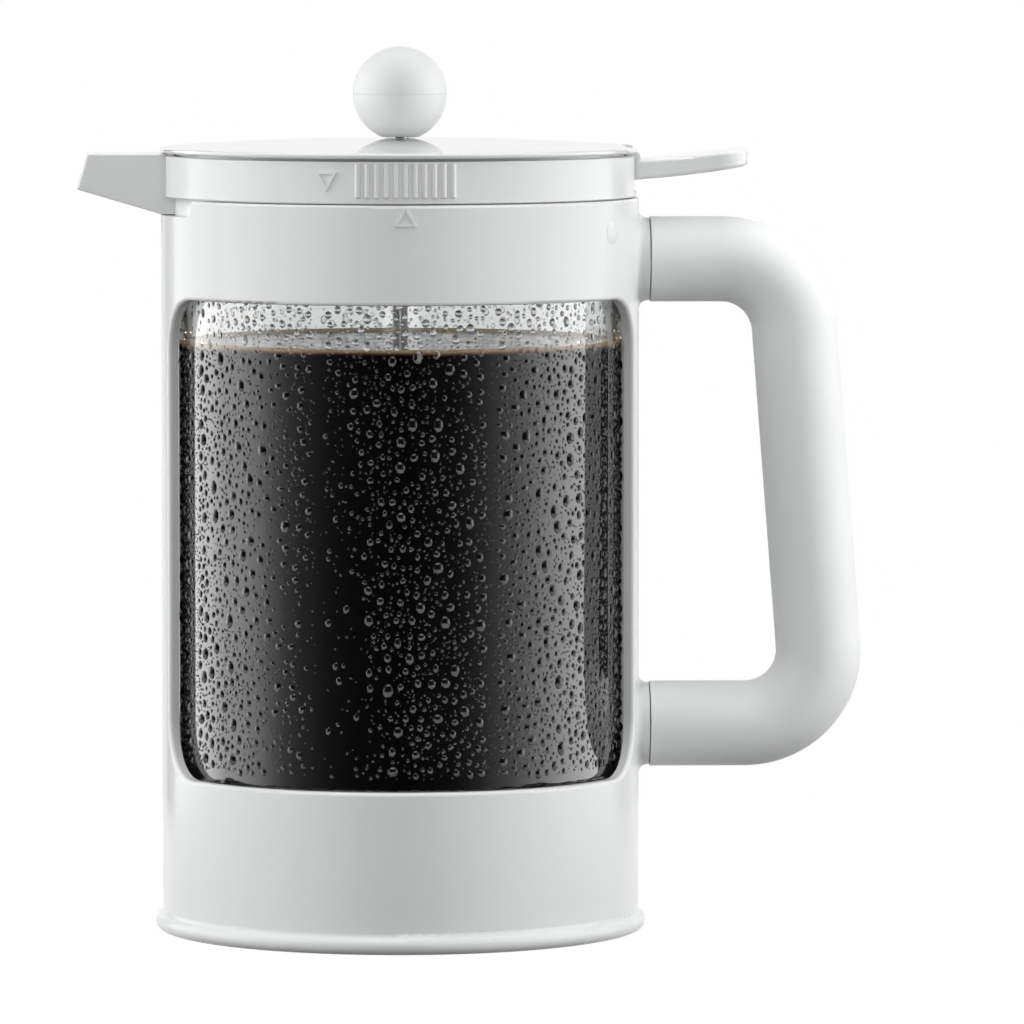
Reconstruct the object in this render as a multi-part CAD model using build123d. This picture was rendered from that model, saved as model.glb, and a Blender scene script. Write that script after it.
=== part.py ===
"""Cold brew coffee press: glass beaker in a moulded frame with two windows and a D handle,
a twist-lock lid with a lever-operated pouring port, and a plunger with a stacked filter.

Frame of the model, in millimetres: the origin is the centre of the foot ring, +Z runs up the
beaker's axis, the handle lies towards +X, the spout towards -X and one window faces -Y.
The lid is locked, the plunger is pressed down and the pouring port is shut.
Azimuths are in degrees, counter-clockwise from +X seen from above.
"""

from build123d import *
from math import asin, cos, degrees, radians, sin, sqrt
import os

# ---------------------------------------------------------------- frame
pot_radius = 61.5            # outside of the frame's wall
rim_top = 188.7              # top edge of the frame
frame_wall = 2.8
rim_rounding = 0.7
foot_width = 6.1             # flat ring that the pot stands on
bead_radius = 2.2            # round bead at the foot, seen in section
bead_setback = 0.4           # bead centre, inwards from the wall's outside
bead_neck_radius = 1.6       # hollow between bead and wall
floor_bottom = 2.3
floor_thickness = 2.2
drain_radius = 4.0
drain_count = 6
drain_inset = 25.5           # ring of drain holes, inwards from the wall's outside
lip_height = 5.0             # ring that centres the beaker's foot
rib_count = 8                # ribs that centre the beaker's top
rib_width = 1.8
rib_height = 8.5
rib_drop = 1.5               # rib tops below the beaker's rim

window_bottom = 40.9
window_head = 25.2           # window tops below the frame's rim
window_corner = 15.0
window_half_angle = 61.8     # from the window's middle to its corner centres
window_edge_rounding = 0.9

# ---------------------------------------------------------------- handle
handle_radius = 11.0
handle_skin = 2.6            # soft grip around the rigid core
upper_arm_drop = 16.0        # upper arm's centre below the frame's rim
lower_arm_z = 52.6
upper_reach, lower_reach = 38.8, 48.1    # bends' corner points beyond the frame's wall
handle_bend = 19.0           # centre line radius at both bends
stub_setback = 0.3           # stubs are slimmer than the grip
stub_length = 2.5
stub_blend = 2.0             # rounding where a stub leaves the wall
socket_depth = 2.4           # the core's end sits this deep in the stub
grip_gap = 0.3               # seam between stub and grip
screw_radius = 1.7
screw_head_radius = 3.4
screw_head_height = 1.6
screw_slot_length, screw_slot_width, screw_slot_depth = 4.4, 0.9, 0.9
screw_reach = 14.0           # thread length inside the core

# ---------------------------------------------------------------- beaker
beaker_gap = 1.7             # between the beaker and the frame's bore
glass_wall = 2.0
glass_floor = 2.5
beaker_rim_drop = 13.2       # beaker's rim below the frame's rim
beaker_corner = 6.0          # outside radius of the bottom corner

# ---------------------------------------------------------------- lid
lid_gap = 0.3                # between the ring and the frame's rim
ring_setback = 0.7           # ring's outside, inwards from the frame's wall
ring_height = 10.6
ring_wall = 2.3
ring_rounding = 0.4
ring_flange = 1.8            # floor of the ring, outside the skirt
cover_seat_width = 1.4       # shelf inside the ring that carries the cover
cover_seat_depth = 3.2       # shelf below the ring's top
deck_drop = 3.4              # deck's underside below the frame's rim
deck_thickness = 2.0
skirt_gap = 0.7              # between the skirt and the beaker's rim
skirt_wall = 3.0
plug_depth = 9.5             # plug's reach into the beaker
plug_wall = 3.2
gland_drop = 3.9             # gland's top below the beaker's rim
gland_height = 3.0
seal_section = 1.15          # radius of the O-ring's section
lock_angle = 19.0            # turn from the open to the locked position
grip_rib_count = 11
grip_rib_step = 2.27         # degrees
grip_rib_radius = 0.76
grip_rib_rise = 1.4          # ribs' lower ends above the ring's bottom
grip_rib_foot_rounding = 0.5
mark_width, mark_height = 5.5, 4.9
mark_line = 0.55
mark_relief = 0.3
frame_mark_drop = 5.3        # upright triangle's base below the frame's rim
lid_mark_rise = 3.1          # inverted triangle's tip above the ring's bottom

cover_overhang = 0.3         # beyond the frame's wall
cover_gap = 0.7              # shadow gap over the ring
cover_edge = 1.4             # thickness of the rounded edge
cover_dome = 2.1             # rise from the edge to the middle
cover_thickness = 1.8
cover_rim_wall = 1.2

pin_azimuths = (-30.0, 150.0)
pin_drop = 8.1               # below the frame's rim
pin_head_radius, pin_head_depth = 3.0, 1.4
pin_shank_radius = 1.95
pin_dome = 0.45

# spout: heights are above the frame's rim, reaches are beyond its wall
spout_reach_low, spout_reach_high = 21.6, 19.0
spout_tip_rise, spout_top_rise = 2.3, 11.4
spout_root_drop = 4.0
spout_root_half_width, spout_tip_half_width = 8.8, 6.4
spout_wall = 1.6
spout_edge_rounding, spout_corner_rounding = 0.5, 1.0
relief_start_corner, relief_end_corner = 0.9, 3.0
relief_end_room = 1.7        # beside the spout's root when the lid is unlocked

# pouring port and its valve
port_inset = 17.5            # inwards from the frame's wall
port_radius = 5.5
port_seat_width, port_seat_height = 1.4, 1.2
channel_room, channel_wall = 1.0, 1.4    # room beside the stopper
channel_height = 8.0
gate_room = 0.8              # around the lever's arm where it enters the channel
stopper_overhang = 0.5       # beyond the seat's outside
stopper_thickness = 1.4
stopper_plug_depth, stopper_plug_room = 0.8, 0.6
stem_radius = 1.5
stem_button_overhang, stem_button_height = 0.6, 1.0

# lever: heights are above the deck or, outside the ring, above the ring's bottom
pivot_x = 22.0
pivot_rise = 6.1
axle_radius, axle_stand = 1.5, 1.1       # ends stand proud of the cheeks
hub_wall = 1.9
hub_half_width = 7.6
cheek_thickness, cheek_wall = 3.0, 2.1
arm_half_width, arm_rise, arm_thickness = 3.6, 3.9, 2.2
pad_radius = 4.4
yoke_room = 2.6              # around the rod guide's boss
yoke_width = 3.6
bar_rise, bar_thickness = 4.7, 4.9
lever_half_width = 10.5
lever_corner = 7.5           # rounding of the tip, seen from above
lever_reach = 28.0           # beyond the frame's wall
lever_root_rise, lever_root_thickness = 4.4, 5.0
lever_tip_rise, lever_tip_thickness = 8.0, 4.5
lever_sag_low, lever_sag_high = 0.45, 0.25    # hollow of the thumb piece's two faces
lever_ridge_inset, lever_ridge_drop, lever_ridge_radius = 1.7, 0.5, 1.9    # drop from the ring's top
lever_edge_rounding = 1.0
ridge_edge_rounding = 0.6
lever_slot_rise = 1.4
notch_side_room = 2.0        # between the lever and the cover's notch
spring_inset = 15.5          # inwards from the frame's wall
spring_radius, spring_wire, spring_turns = 3.0, 0.35, 4.5
spring_pocket_room, spring_pocket_wall = 0.65, 1.6
spring_pocket_roof = 1.5
spring_collar_height = 1.2

# rod guide
boss_wall, boss_drop = 2.6, 5.3
boss_cover_overlap = 0.3
bush_wall, neck_wall = 2.0, 1.6
neck_end = 1.2               # neck's lower end below the boss
bush_stand = 0.1             # above the cover's crown

# ---------------------------------------------------------------- plunger
knob_radius = 12.1
knob_flat_depth = 1.0        # cut off the ball's underside
knob_stop_gap = 0.3          # above the rod guide when pressed
knob_base_rounding = 0.4
knob_seam_depth, knob_seam_width = 0.12, 0.35
insert_wall, insert_height = 1.4, 11.0
rod_radius = 2.0
rod_chamfer = 0.4
insert_end = 1.3             # insert's solid end over the rod
filter_floor_gap = 1.6       # above the beaker's floor when pressed
rod_seat = 0.8               # rod's end above the cross plate's underside
cross_plate_thickness = 1.4
mesh_thickness = 0.5
mesh_edge = 0.4              # mesh ends this far inside the coil's outside
spring_plate_thickness = 1.0
edge_coil_radius = 1.5
collar_wall, collar_height, collar_rounding = 3.0, 5.5, 1.0
plate_hole_radius = 5.0
hole_ring_start, hole_ring_pitch = 17.0, 13.25
holes_per_ring = 6           # on the first ring, and as many more on each next one
hole_ring_margin = 3.0       # between the last ring's holes and the plate's edge
cross_hub_radius, cross_rim_width = 10.0, 5.7
cross_spokes = 8
spoke_angle = 9.0

# ---------------------------------------------------------------- clearances
running = 0.06               # shaft in bore, radially
sliding = 0.3                # lid, beaker and frame inside each other
snug = 0.02                  # fixed pieces that fit into one another
rim_clearance = 0.1          # cover's rim inside the ring
seal_clearance = 0.05

# ---------------------------------------------------------------- derived sizes
frame_bore = pot_radius - frame_wall
beaker_radius = frame_bore - beaker_gap
beaker_bore = beaker_radius - glass_wall
beaker_seat_radius = beaker_radius + sliding
beaker_bottom = floor_bottom + floor_thickness
beaker_top = rim_top - beaker_rim_drop
window_top = rim_top - window_head

upper_arm_z = rim_top - upper_arm_drop
upper_bend_x, lower_bend_x = pot_radius + upper_reach, pot_radius + lower_reach
stub_radius = handle_radius - stub_setback
stub_end_x = pot_radius + stub_length
core_end_x = stub_end_x - socket_depth
handle_core_radius = handle_radius - handle_skin

ring_radius = pot_radius - ring_setback
ring_inner = ring_radius - ring_wall
ring_bottom = rim_top + lid_gap
ring_top = ring_bottom + ring_height
cover_seat_z = ring_top - cover_seat_depth
cover_seat_inner = ring_inner - cover_seat_width
deck_bottom = rim_top - deck_drop
deck_top = deck_bottom + deck_thickness
skirt_bottom = beaker_top + skirt_gap
skirt_outer = frame_bore - sliding
skirt_inner = skirt_outer - skirt_wall
plug_bottom = beaker_top - plug_depth
plug_outer = beaker_bore - sliding
plug_inner = plug_outer - plug_wall
gland_top = beaker_top - gland_drop
gland_bottom = gland_top - gland_height
pin_z = rim_top - pin_drop
lid_mark_azimuth = -90.0 - lock_angle

cover_radius = pot_radius + cover_overhang
cover_bottom = ring_top + cover_gap
cover_edge_top = cover_bottom + cover_edge
cover_crown = cover_edge_top + cover_dome

spout_tip_low = (-pot_radius - spout_reach_low, rim_top + spout_tip_rise)
spout_tip_high = (-pot_radius - spout_reach_high, rim_top + spout_top_rise)
spout_root_low_z = rim_top - spout_root_drop
spout_half_angle = degrees(asin(spout_root_half_width / frame_bore))

port_x = port_inset - pot_radius
stopper_radius = port_radius + port_seat_width + stopper_overhang
channel_half_width = stopper_radius + channel_room
pivot_z = deck_top + pivot_rise
hub_radius = axle_radius + hub_wall
cheek_radius = axle_radius + cheek_wall
cheek_start = hub_half_width + sliding
axle_half_length = cheek_start + cheek_thickness + axle_stand
arm_bottom = deck_top + arm_rise
arm_top = arm_bottom + arm_thickness
lever_root_bottom = ring_bottom + lever_root_rise
lever_slot_room = lever_half_width + 2 * sliding
spring_x = pot_radius - spring_inset
spring_pocket_radius = spring_radius + spring_wire + spring_pocket_room
spring_pocket_top = deck_top + bar_rise + bar_thickness - spring_pocket_roof

bush_radius = rod_radius + bush_wall
boss_radius = bush_radius + boss_wall
guide_neck_radius = bush_radius + neck_wall
yoke_inner = boss_radius + yoke_room
boss_bottom = deck_bottom - boss_drop
boss_top = cover_bottom + boss_cover_overlap
bush_bottom = boss_bottom - neck_end
bush_top = cover_crown + bush_stand

knob_base = bush_top + knob_stop_gap
knob_z = knob_base + knob_radius - knob_flat_depth
insert_radius = rod_radius + insert_wall
rod_top = knob_base + insert_height - insert_end
filter_radius = beaker_bore - sliding
filter_bottom = beaker_bottom + glass_floor + filter_floor_gap
rod_bottom = filter_bottom + rod_seat
mesh_bottom = filter_bottom + cross_plate_thickness + snug
plate_bottom = mesh_bottom + mesh_thickness + snug
plate_top = plate_bottom + spring_plate_thickness
plate_radius = filter_radius - 2 * edge_coil_radius
collar_radius = rod_radius + collar_wall
LOW = (Align.CENTER, Align.CENTER, Align.MIN)


# ---------------------------------------------------------------- helpers
def post(radius, bottom, top, x=0.0, y=0.0):
    """Upright cylinder between two heights."""
    return Pos(x, y, bottom) * Cylinder(radius, top - bottom, align=LOW)


def tube(inner, outer, bottom, top, x=0.0, y=0.0):
    """Upright ring between two heights."""
    return post(outer, bottom, top, x, y) - post(inner, bottom - 1, top + 1, x, y)


def block(x0, x1, y0, y1, z0, z1):
    """Box between two corners."""
    middle = Pos((x0 + x1) / 2, (y0 + y1) / 2, (z0 + z1) / 2)
    return middle * Box(x1 - x0, y1 - y0, z1 - z0)


def turned(points):
    """Solid of revolution about Z from an outline of (radius, height) points."""
    return revolve(Plane.XZ * make_face(Polyline(*points, close=True)), Axis.Z)


def outward(azimuth, radius, height):
    """Plane that faces outwards at an azimuth, with its own Y upwards."""
    a = radians(azimuth)
    return Plane(
        origin=(radius * cos(a), radius * sin(a), height),
        x_dir=(-sin(a), cos(a), 0),
        z_dir=(cos(a), sin(a), 0),
    )


def sector(start, end, reach, bottom, top):
    """Pie slice between two azimuths, wide enough to pass the given reach everywhere."""
    steps = max(2, int((end - start) / 30) + 1)
    angles = [radians(start + (end - start) * i / steps) for i in range(steps + 1)]
    far = reach / cos(radians((end - start) / steps / 2))
    rim = [(far * cos(a), far * sin(a)) for a in angles]
    return Pos(0, 0, bottom) * extrude(
        make_face(Polyline((0, 0), *rim, close=True)), amount=top - bottom
    )


def radial_slot(azimuth, radius, bottom, top):
    """Upright round-ended slot, cut from the axis outwards at an azimuth."""
    plane = outward(azimuth, 0, (bottom + top) / 2)
    shape = SlotOverall(top - bottom, 2 * radius, rotation=90)
    return extrude(plane * shape, amount=2 * pot_radius)


def triangle_mark(azimuth, bottom, surface_radius, upright):
    """Raised triangle outline on a round wall, sunk a little into it."""
    half, tip = mark_width / 2, mark_height
    if upright:
        corners = [(-half, 0), (half, 0), (0, tip)]
    else:
        corners = [(-half, tip), (0, 0), (half, tip)]
    outer = make_face(Polyline(*corners, close=True))
    line = outer - offset(outer, amount=-mark_line, kind=Kind.INTERSECTION)
    sunk = 2 * mark_relief
    plane = outward(azimuth, surface_radius - sunk, bottom)
    return extrude(plane * line, amount=sunk + mark_relief)


def circles(shape, radius):
    """Circular edges of one radius."""
    round_edges = shape.edges().filter_by(GeomType.CIRCLE)
    return [e for e in round_edges if abs(e.radius - radius) < 0.01]


def along_x(radius, x0, x1, z, y=0.0):
    """Cylinder along X."""
    return Pos(x0, y, z) * Rot(0, 90, 0) * Cylinder(radius, x1 - x0, align=LOW)


def along_y(radius, y0, y1, x, z):
    """Cylinder along Y."""
    return Pos(x, y0, z) * Rot(-90, 0, 0) * Cylinder(radius, y1 - y0, align=LOW)


# ---------------------------------------------------------------- frame pieces
def frame_profile():
    """Section of the frame's wall, foot bead, floor and the lip around the beaker's foot."""
    bead_x = pot_radius - bead_setback
    neck_x = pot_radius + bead_neck_radius
    rise = sqrt((bead_radius + bead_neck_radius) ** 2 - (neck_x - bead_x) ** 2)
    share = bead_radius / (bead_radius + bead_neck_radius)
    touch = (bead_x + (neck_x - bead_x) * share, bead_radius + rise * share)
    neck_top = (pot_radius, bead_radius + rise)
    floor_top = beaker_bottom
    lip_top = floor_top + lip_height
    line = [
        Polyline((0, floor_bottom), (bead_x - foot_width, floor_bottom),
                 (bead_x - foot_width, 0), (bead_x, 0)),
        ThreePointArc((bead_x, 0), (bead_x + bead_radius, bead_radius), touch),
        RadiusArc(touch, neck_top, bead_neck_radius),
        Polyline(neck_top, (pot_radius, rim_top - rim_rounding)),
        RadiusArc((pot_radius, rim_top - rim_rounding),
                  (pot_radius - rim_rounding, rim_top), -rim_rounding),
        Polyline((pot_radius - rim_rounding, rim_top),
                 (frame_bore + rim_rounding / 2, rim_top),
                 (frame_bore, rim_top - rim_rounding / 2),
                 (frame_bore, lip_top + 1),
                 (beaker_seat_radius, lip_top),
                 (beaker_seat_radius, floor_top), (0, floor_top), (0, floor_bottom)),
    ]
    return Plane.XZ * make_face(line)


def window_cutter(middle):
    """Opening with round corners, cut squarely through the wall."""
    left, right = middle - window_half_angle, middle + window_half_angle
    cutter = sector(left, right, 2 * pot_radius, window_bottom, window_top)
    for azimuth in (left, right):
        cutter += radial_slot(azimuth, window_corner, window_bottom, window_top)
    return cutter


def spout_relief():
    """Step in the rim that the spout's root sweeps through as the lid turns."""
    low = spout_root_low_z - sliding
    high = rim_top + 2 * relief_end_corner
    start = 180 - spout_half_angle + degrees(asin((relief_start_corner - sliding) / pot_radius))
    end = 180 + spout_half_angle + lock_angle
    end -= degrees(asin((relief_end_corner - relief_end_room) / pot_radius))
    cutter = sector(start, end, 2 * pot_radius, low, high)
    cutter += radial_slot(start, relief_start_corner, low, high)
    cutter += radial_slot(end, relief_end_corner, low, high)
    return cutter


def window_outer_edges(shell):
    """Edges where the windows meet the outside of the wall."""
    found = []
    for edge in shell.edges():
        middle = edge.position_at(0.5)
        radius = sqrt(middle.X**2 + middle.Y**2)
        inside_heights = window_bottom - 0.01 <= middle.Z <= window_top + 0.01
        if inside_heights and abs(radius - pot_radius) < 0.02:
            found.append(edge)
    return found


def stub_outer_edges(shell):
    """Curves where the handle stubs leave the outside of the wall."""
    found = []
    for edge in shell.edges():
        middle = edge.position_at(0.5)
        start = edge.position_at(0.0)
        for z in (upper_arm_z, lower_arm_z):
            on_stub = all(
                abs(sqrt(p.Y**2 + (p.Z - z) ** 2) - stub_radius) < 0.02 for p in (middle, start)
            )
            on_wall = abs(sqrt(start.X**2 + start.Y**2) - pot_radius) < 0.02
            if on_stub and on_wall:
                found.append(edge)
    return found


def make_frame_shell():
    shell = revolve(frame_profile(), Axis.Z)
    for z in (upper_arm_z, lower_arm_z):
        stub = along_x(stub_radius, frame_bore - 1, stub_end_x, z)
        shell += stub - post(frame_bore, z - 2 * stub_radius, z + 2 * stub_radius)
    shell = fillet(stub_outer_edges(shell), stub_blend)
    for middle in (-90, 90):
        shell -= window_cutter(middle)
    shell = fillet(window_outer_edges(shell), window_edge_rounding)
    shell -= spout_relief()
    rib_top = beaker_top - rib_drop
    for i in range(rib_count):
        azimuth = (i + 0.5) * 360 / rib_count
        rib = block(beaker_seat_radius, frame_bore + frame_wall / 2, -rib_width / 2, rib_width / 2,
                    rib_top - rib_height, rib_top)
        shell += Rot(0, 0, azimuth) * rib
    shell -= post(drain_radius, 0, beaker_bottom + 1)
    for i in range(drain_count):
        a = radians(i * 360 / drain_count)
        shell -= post(drain_radius, 0, beaker_bottom + 1,
                      (pot_radius - drain_inset) * cos(a), (pot_radius - drain_inset) * sin(a))
    for z in (upper_arm_z, lower_arm_z):
        shell -= along_x(handle_core_radius + snug, core_end_x, stub_end_x + 1, z)
        inside = frame_bore - screw_head_radius
        shell -= along_x(screw_radius + sliding, inside, stub_end_x, z)
        shell -= along_x(screw_head_radius + sliding, inside, frame_bore + screw_head_height, z)
    for azimuth in pin_azimuths:
        hole = outward(azimuth, frame_bore - 2, pin_z) * Circle(pin_shank_radius + snug)
        seat = outward(azimuth, pot_radius - pin_head_depth, pin_z) * Circle(pin_head_radius + snug)
        shell -= extrude(hole, amount=frame_wall + 4)
        shell -= extrude(seat, amount=pin_head_depth + 2)
    return shell + triangle_mark(-90, rim_top - frame_mark_drop, pot_radius, upright=True)


def handle_path(start_x):
    """Centre line of the handle, from the upper arm's end to the lower one's."""
    return FilletPolyline(
        (start_x, 0, upper_arm_z),
        (upper_bend_x, 0, upper_arm_z),
        (lower_bend_x, 0, lower_arm_z),
        (start_x, 0, lower_arm_z),
        radius=handle_bend,
    )


def handle_tube(start_x, radius):
    """Round bar along the handle's centre line."""
    section = Plane(origin=(start_x, 0, upper_arm_z), z_dir=(1, 0, 0)) * Circle(radius)
    return sweep(section, path=handle_path(start_x))


def make_handle_core():
    core = handle_tube(core_end_x + snug, handle_core_radius)
    for z in (upper_arm_z, lower_arm_z):
        core -= along_x(screw_radius + snug, core_end_x - 1, stub_end_x + screw_reach + 1, z)
    return core


def make_handle_grip():
    start = stub_end_x + grip_gap
    grip = handle_tube(start, handle_radius) - handle_tube(start, handle_core_radius + snug)
    ends = [e for e in circles(grip, handle_radius) if abs(e.position_at(0).X - start) < 0.01]
    return fillet(ends, grip_gap)


def make_handle_screws():
    screws = []
    head_x = frame_bore + screw_head_height
    for z in (upper_arm_z, lower_arm_z):
        screw = along_x(screw_head_radius, frame_bore, head_x, z)
        screw += along_x(screw_radius, head_x - screw_head_height / 2, stub_end_x + screw_reach, z)
        half, side = screw_slot_length / 2, screw_slot_width / 2
        slot = block(frame_bore - 1, frame_bore + screw_slot_depth, -half, half, -side, side)
        for turn in (0, 90):
            screw -= Pos(0, 0, z) * Rot(turn, 0, 0) * slot
        screws.append(screw)
    return Compound(children=screws)


def make_bayonet_pins():
    pins = []
    tip = beaker_radius + sliding
    for azimuth in pin_azimuths:
        head_plane = outward(azimuth, pot_radius - pin_head_depth, pin_z)
        dome_radius = (pin_head_radius**2 + pin_dome**2) / (2 * pin_dome)
        head = extrude(head_plane * Circle(pin_head_radius), amount=pin_head_depth + pin_dome)
        top = outward(azimuth, pot_radius + pin_dome - dome_radius, pin_z)
        head = head & (top * Sphere(dome_radius))
        shank_plane = outward(azimuth, tip, pin_z)
        length = pot_radius - pin_head_depth / 2 - tip
        pins.append(head + extrude(shank_plane * Circle(pin_shank_radius), amount=length))
    return Compound(children=pins)


# ---------------------------------------------------------------- beaker
def make_beaker():
    rim = glass_wall / 2
    inner_corner = beaker_corner - glass_wall
    floor_top = beaker_bottom + glass_floor
    line = [
        Polyline((0, beaker_bottom), (beaker_radius - beaker_corner, beaker_bottom)),
        RadiusArc((beaker_radius - beaker_corner, beaker_bottom),
                  (beaker_radius, beaker_bottom + beaker_corner), -beaker_corner),
        Polyline((beaker_radius, beaker_bottom + beaker_corner), (beaker_radius, beaker_top - rim)),
        ThreePointArc((beaker_radius, beaker_top - rim), (beaker_radius - rim, beaker_top),
                      (beaker_bore, beaker_top - rim)),
        Polyline((beaker_bore, beaker_top - rim), (beaker_bore, floor_top + inner_corner)),
        RadiusArc((beaker_bore, floor_top + inner_corner),
                  (beaker_bore - inner_corner, floor_top), inner_corner),
        Polyline((beaker_bore - inner_corner, floor_top), (0, floor_top), (0, beaker_bottom)),
    ]
    return revolve(Plane.XZ * make_face(line), Axis.Z)


# ---------------------------------------------------------------- lid pieces
def spout_prism(side_points, root_half, tip_half, tip_x, root_x):
    """Side outline given a width that grows from the tip to the frame's wall, and is even inside."""
    side = Plane.XZ * make_face(Polyline(*side_points, close=True))
    body = extrude(side, amount=2 * root_half, both=True)
    plan = make_face(Polyline((tip_x, -tip_half), (-pot_radius, -root_half), (root_x, -root_half),
                              (root_x, root_half), (-pot_radius, root_half), (tip_x, tip_half),
                              close=True))
    return body & extrude(plan, amount=2 * ring_top)


def spout_outside():
    """Spout as a solid wedge, from its tip to the inside of the skirt."""
    root_x = -skirt_inner - 0.5
    outline = [spout_tip_low, (-pot_radius, spout_root_low_z), (root_x, spout_root_low_z),
               (root_x, ring_bottom + 1), (1 - ring_radius, ring_bottom + 1),
               (1 - ring_radius, spout_tip_high[1]), spout_tip_high]
    spout = spout_prism(outline, spout_root_half_width, spout_tip_half_width,
                        spout_tip_low[0], root_x)
    outside = [e for e in spout.edges() if e.center().X < -pot_radius - 1]
    upright = [e for e in outside if abs(e.tangent_at(0.5).Z) > 0.5]
    spout = fillet(upright, spout_corner_rounding)
    outside = [e for e in spout.edges() if e.center().X < -pot_radius - 1]
    level = [e for e in outside if abs(e.tangent_at(0.5).Z) < 0.5]
    return fillet(level, spout_edge_rounding)


def spout_channel():
    """Hollow of the spout, from inside the skirt over the deck and out of the tip."""
    slope = (spout_tip_low[1] - spout_root_low_z) / (-pot_radius - spout_tip_low[0])
    tip_x = spout_tip_low[0] - 3
    tip_floor = spout_root_low_z - slope * (tip_x + pot_radius) + spout_wall
    floor_x = -pot_radius - (deck_top - spout_wall - spout_root_low_z) / slope
    roof = spout_tip_high[1] - spout_wall
    root_x = 1 - skirt_inner
    outline = [(tip_x, tip_floor), (floor_x, deck_top), (root_x, deck_top), (root_x, roof),
               (tip_x, roof)]
    return spout_prism(outline, spout_root_half_width - spout_wall,
                       spout_tip_half_width - spout_wall, tip_x, root_x)


def channel_walls():
    """Walls on the deck that lead from the pouring port to the spout."""
    top = deck_top + channel_height
    outer = channel_half_width + channel_wall
    walls = block(-ring_inner, port_x, -outer, outer, deck_top - 0.5, top)
    walls += post(outer, deck_top - 0.5, top, port_x)
    walls -= block(-ring_inner - 1, port_x, -channel_half_width, channel_half_width,
                   deck_top - 1, top + 1)
    walls -= post(channel_half_width, deck_top - 1, top + 1, port_x)
    gate = arm_half_width + gate_room
    walls -= block(port_x, port_x + 2 * outer, -gate, gate, arm_bottom - gate_room, top + 1)
    return walls & post(ring_inner, deck_top - 0.5, top)


def bayonet_slots():
    """L-shaped slots in the skirt: up from its edge, then along to the locked position."""
    room = pin_shank_radius + sliding
    half = degrees(asin(room / skirt_inner))
    slots = []
    for azimuth in pin_azimuths:
        opening = azimuth - lock_angle
        slots.append(sector(opening - half, azimuth + half, pot_radius, pin_z - room, pin_z + room))
        slots.append(sector(opening - half, opening + half, pot_radius, skirt_bottom - 1, pin_z + room))
    return slots


def make_lid_body():
    ring = turned([
        (skirt_inner, ring_bottom), (ring_radius, ring_bottom),
        (ring_radius, ring_top), (ring_inner, ring_top),
        (ring_inner, cover_seat_z), (cover_seat_inner, cover_seat_z),
        (cover_seat_inner, ring_bottom + ring_flange), (skirt_inner, ring_bottom + ring_flange),
    ])
    ring -= block(cover_seat_inner - 2, ring_radius + 2, -lever_slot_room, lever_slot_room,
                  ring_bottom + lever_slot_rise, ring_top + 1)
    ring = fillet(circles(ring, ring_radius), ring_rounding)
    for i in range(grip_rib_count):
        azimuth = radians(-90 + (i - (grip_rib_count - 1) / 2) * grip_rib_step)
        x, y = ring_radius * cos(azimuth), ring_radius * sin(azimuth)
        low = ring_bottom + grip_rib_rise
        rib = post(grip_rib_radius, low, ring_top - ring_rounding, x, y)
        foot = [e for e in circles(rib, grip_rib_radius) if e.position_at(0).Z < low + 0.1]
        ring += fillet(foot, grip_rib_foot_rounding)
    ring += triangle_mark(lid_mark_azimuth, ring_bottom + lid_mark_rise, ring_radius, upright=False)

    skirt = tube(skirt_inner, skirt_outer, skirt_bottom, ring_bottom + 0.5)
    for slot in bayonet_slots():
        skirt -= slot
    deck = post(skirt_inner + 0.5, deck_bottom, deck_top)
    plug = tube(plug_inner, plug_outer, plug_bottom, deck_bottom + 0.5)
    plug -= tube(plug_outer - 2 * seal_section, plug_outer + 1, gland_bottom, gland_top)
    body = ring + skirt + deck + plug + spout_outside() + channel_walls()
    body += tube(port_radius, port_radius + port_seat_width, deck_top - 0.5,
                 deck_top + port_seat_height, port_x)
    for side in (-1, 1):
        middle = side * (cheek_start + cheek_thickness / 2)
        low, high = middle - cheek_thickness / 2, middle + cheek_thickness / 2
        cheek = block(pivot_x - cheek_radius, pivot_x + cheek_radius, low, high,
                      deck_top - 0.5, pivot_z)
        body += cheek + along_y(cheek_radius, low, high, pivot_x, pivot_z)
    collar = spring_radius + spring_wire + sliding
    body += tube(collar, collar + spring_collar_height, deck_top - 0.5,
                 deck_top + spring_collar_height, spring_x)
    body -= post(guide_neck_radius + snug, deck_bottom - 1, deck_top + 1)
    body -= spout_channel()
    body -= post(port_radius, deck_bottom - 1, deck_top + port_seat_height + 1, port_x)
    return body - along_y(axle_radius + snug, -2 * cheek_start, 2 * cheek_start, pivot_x, pivot_z)


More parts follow.
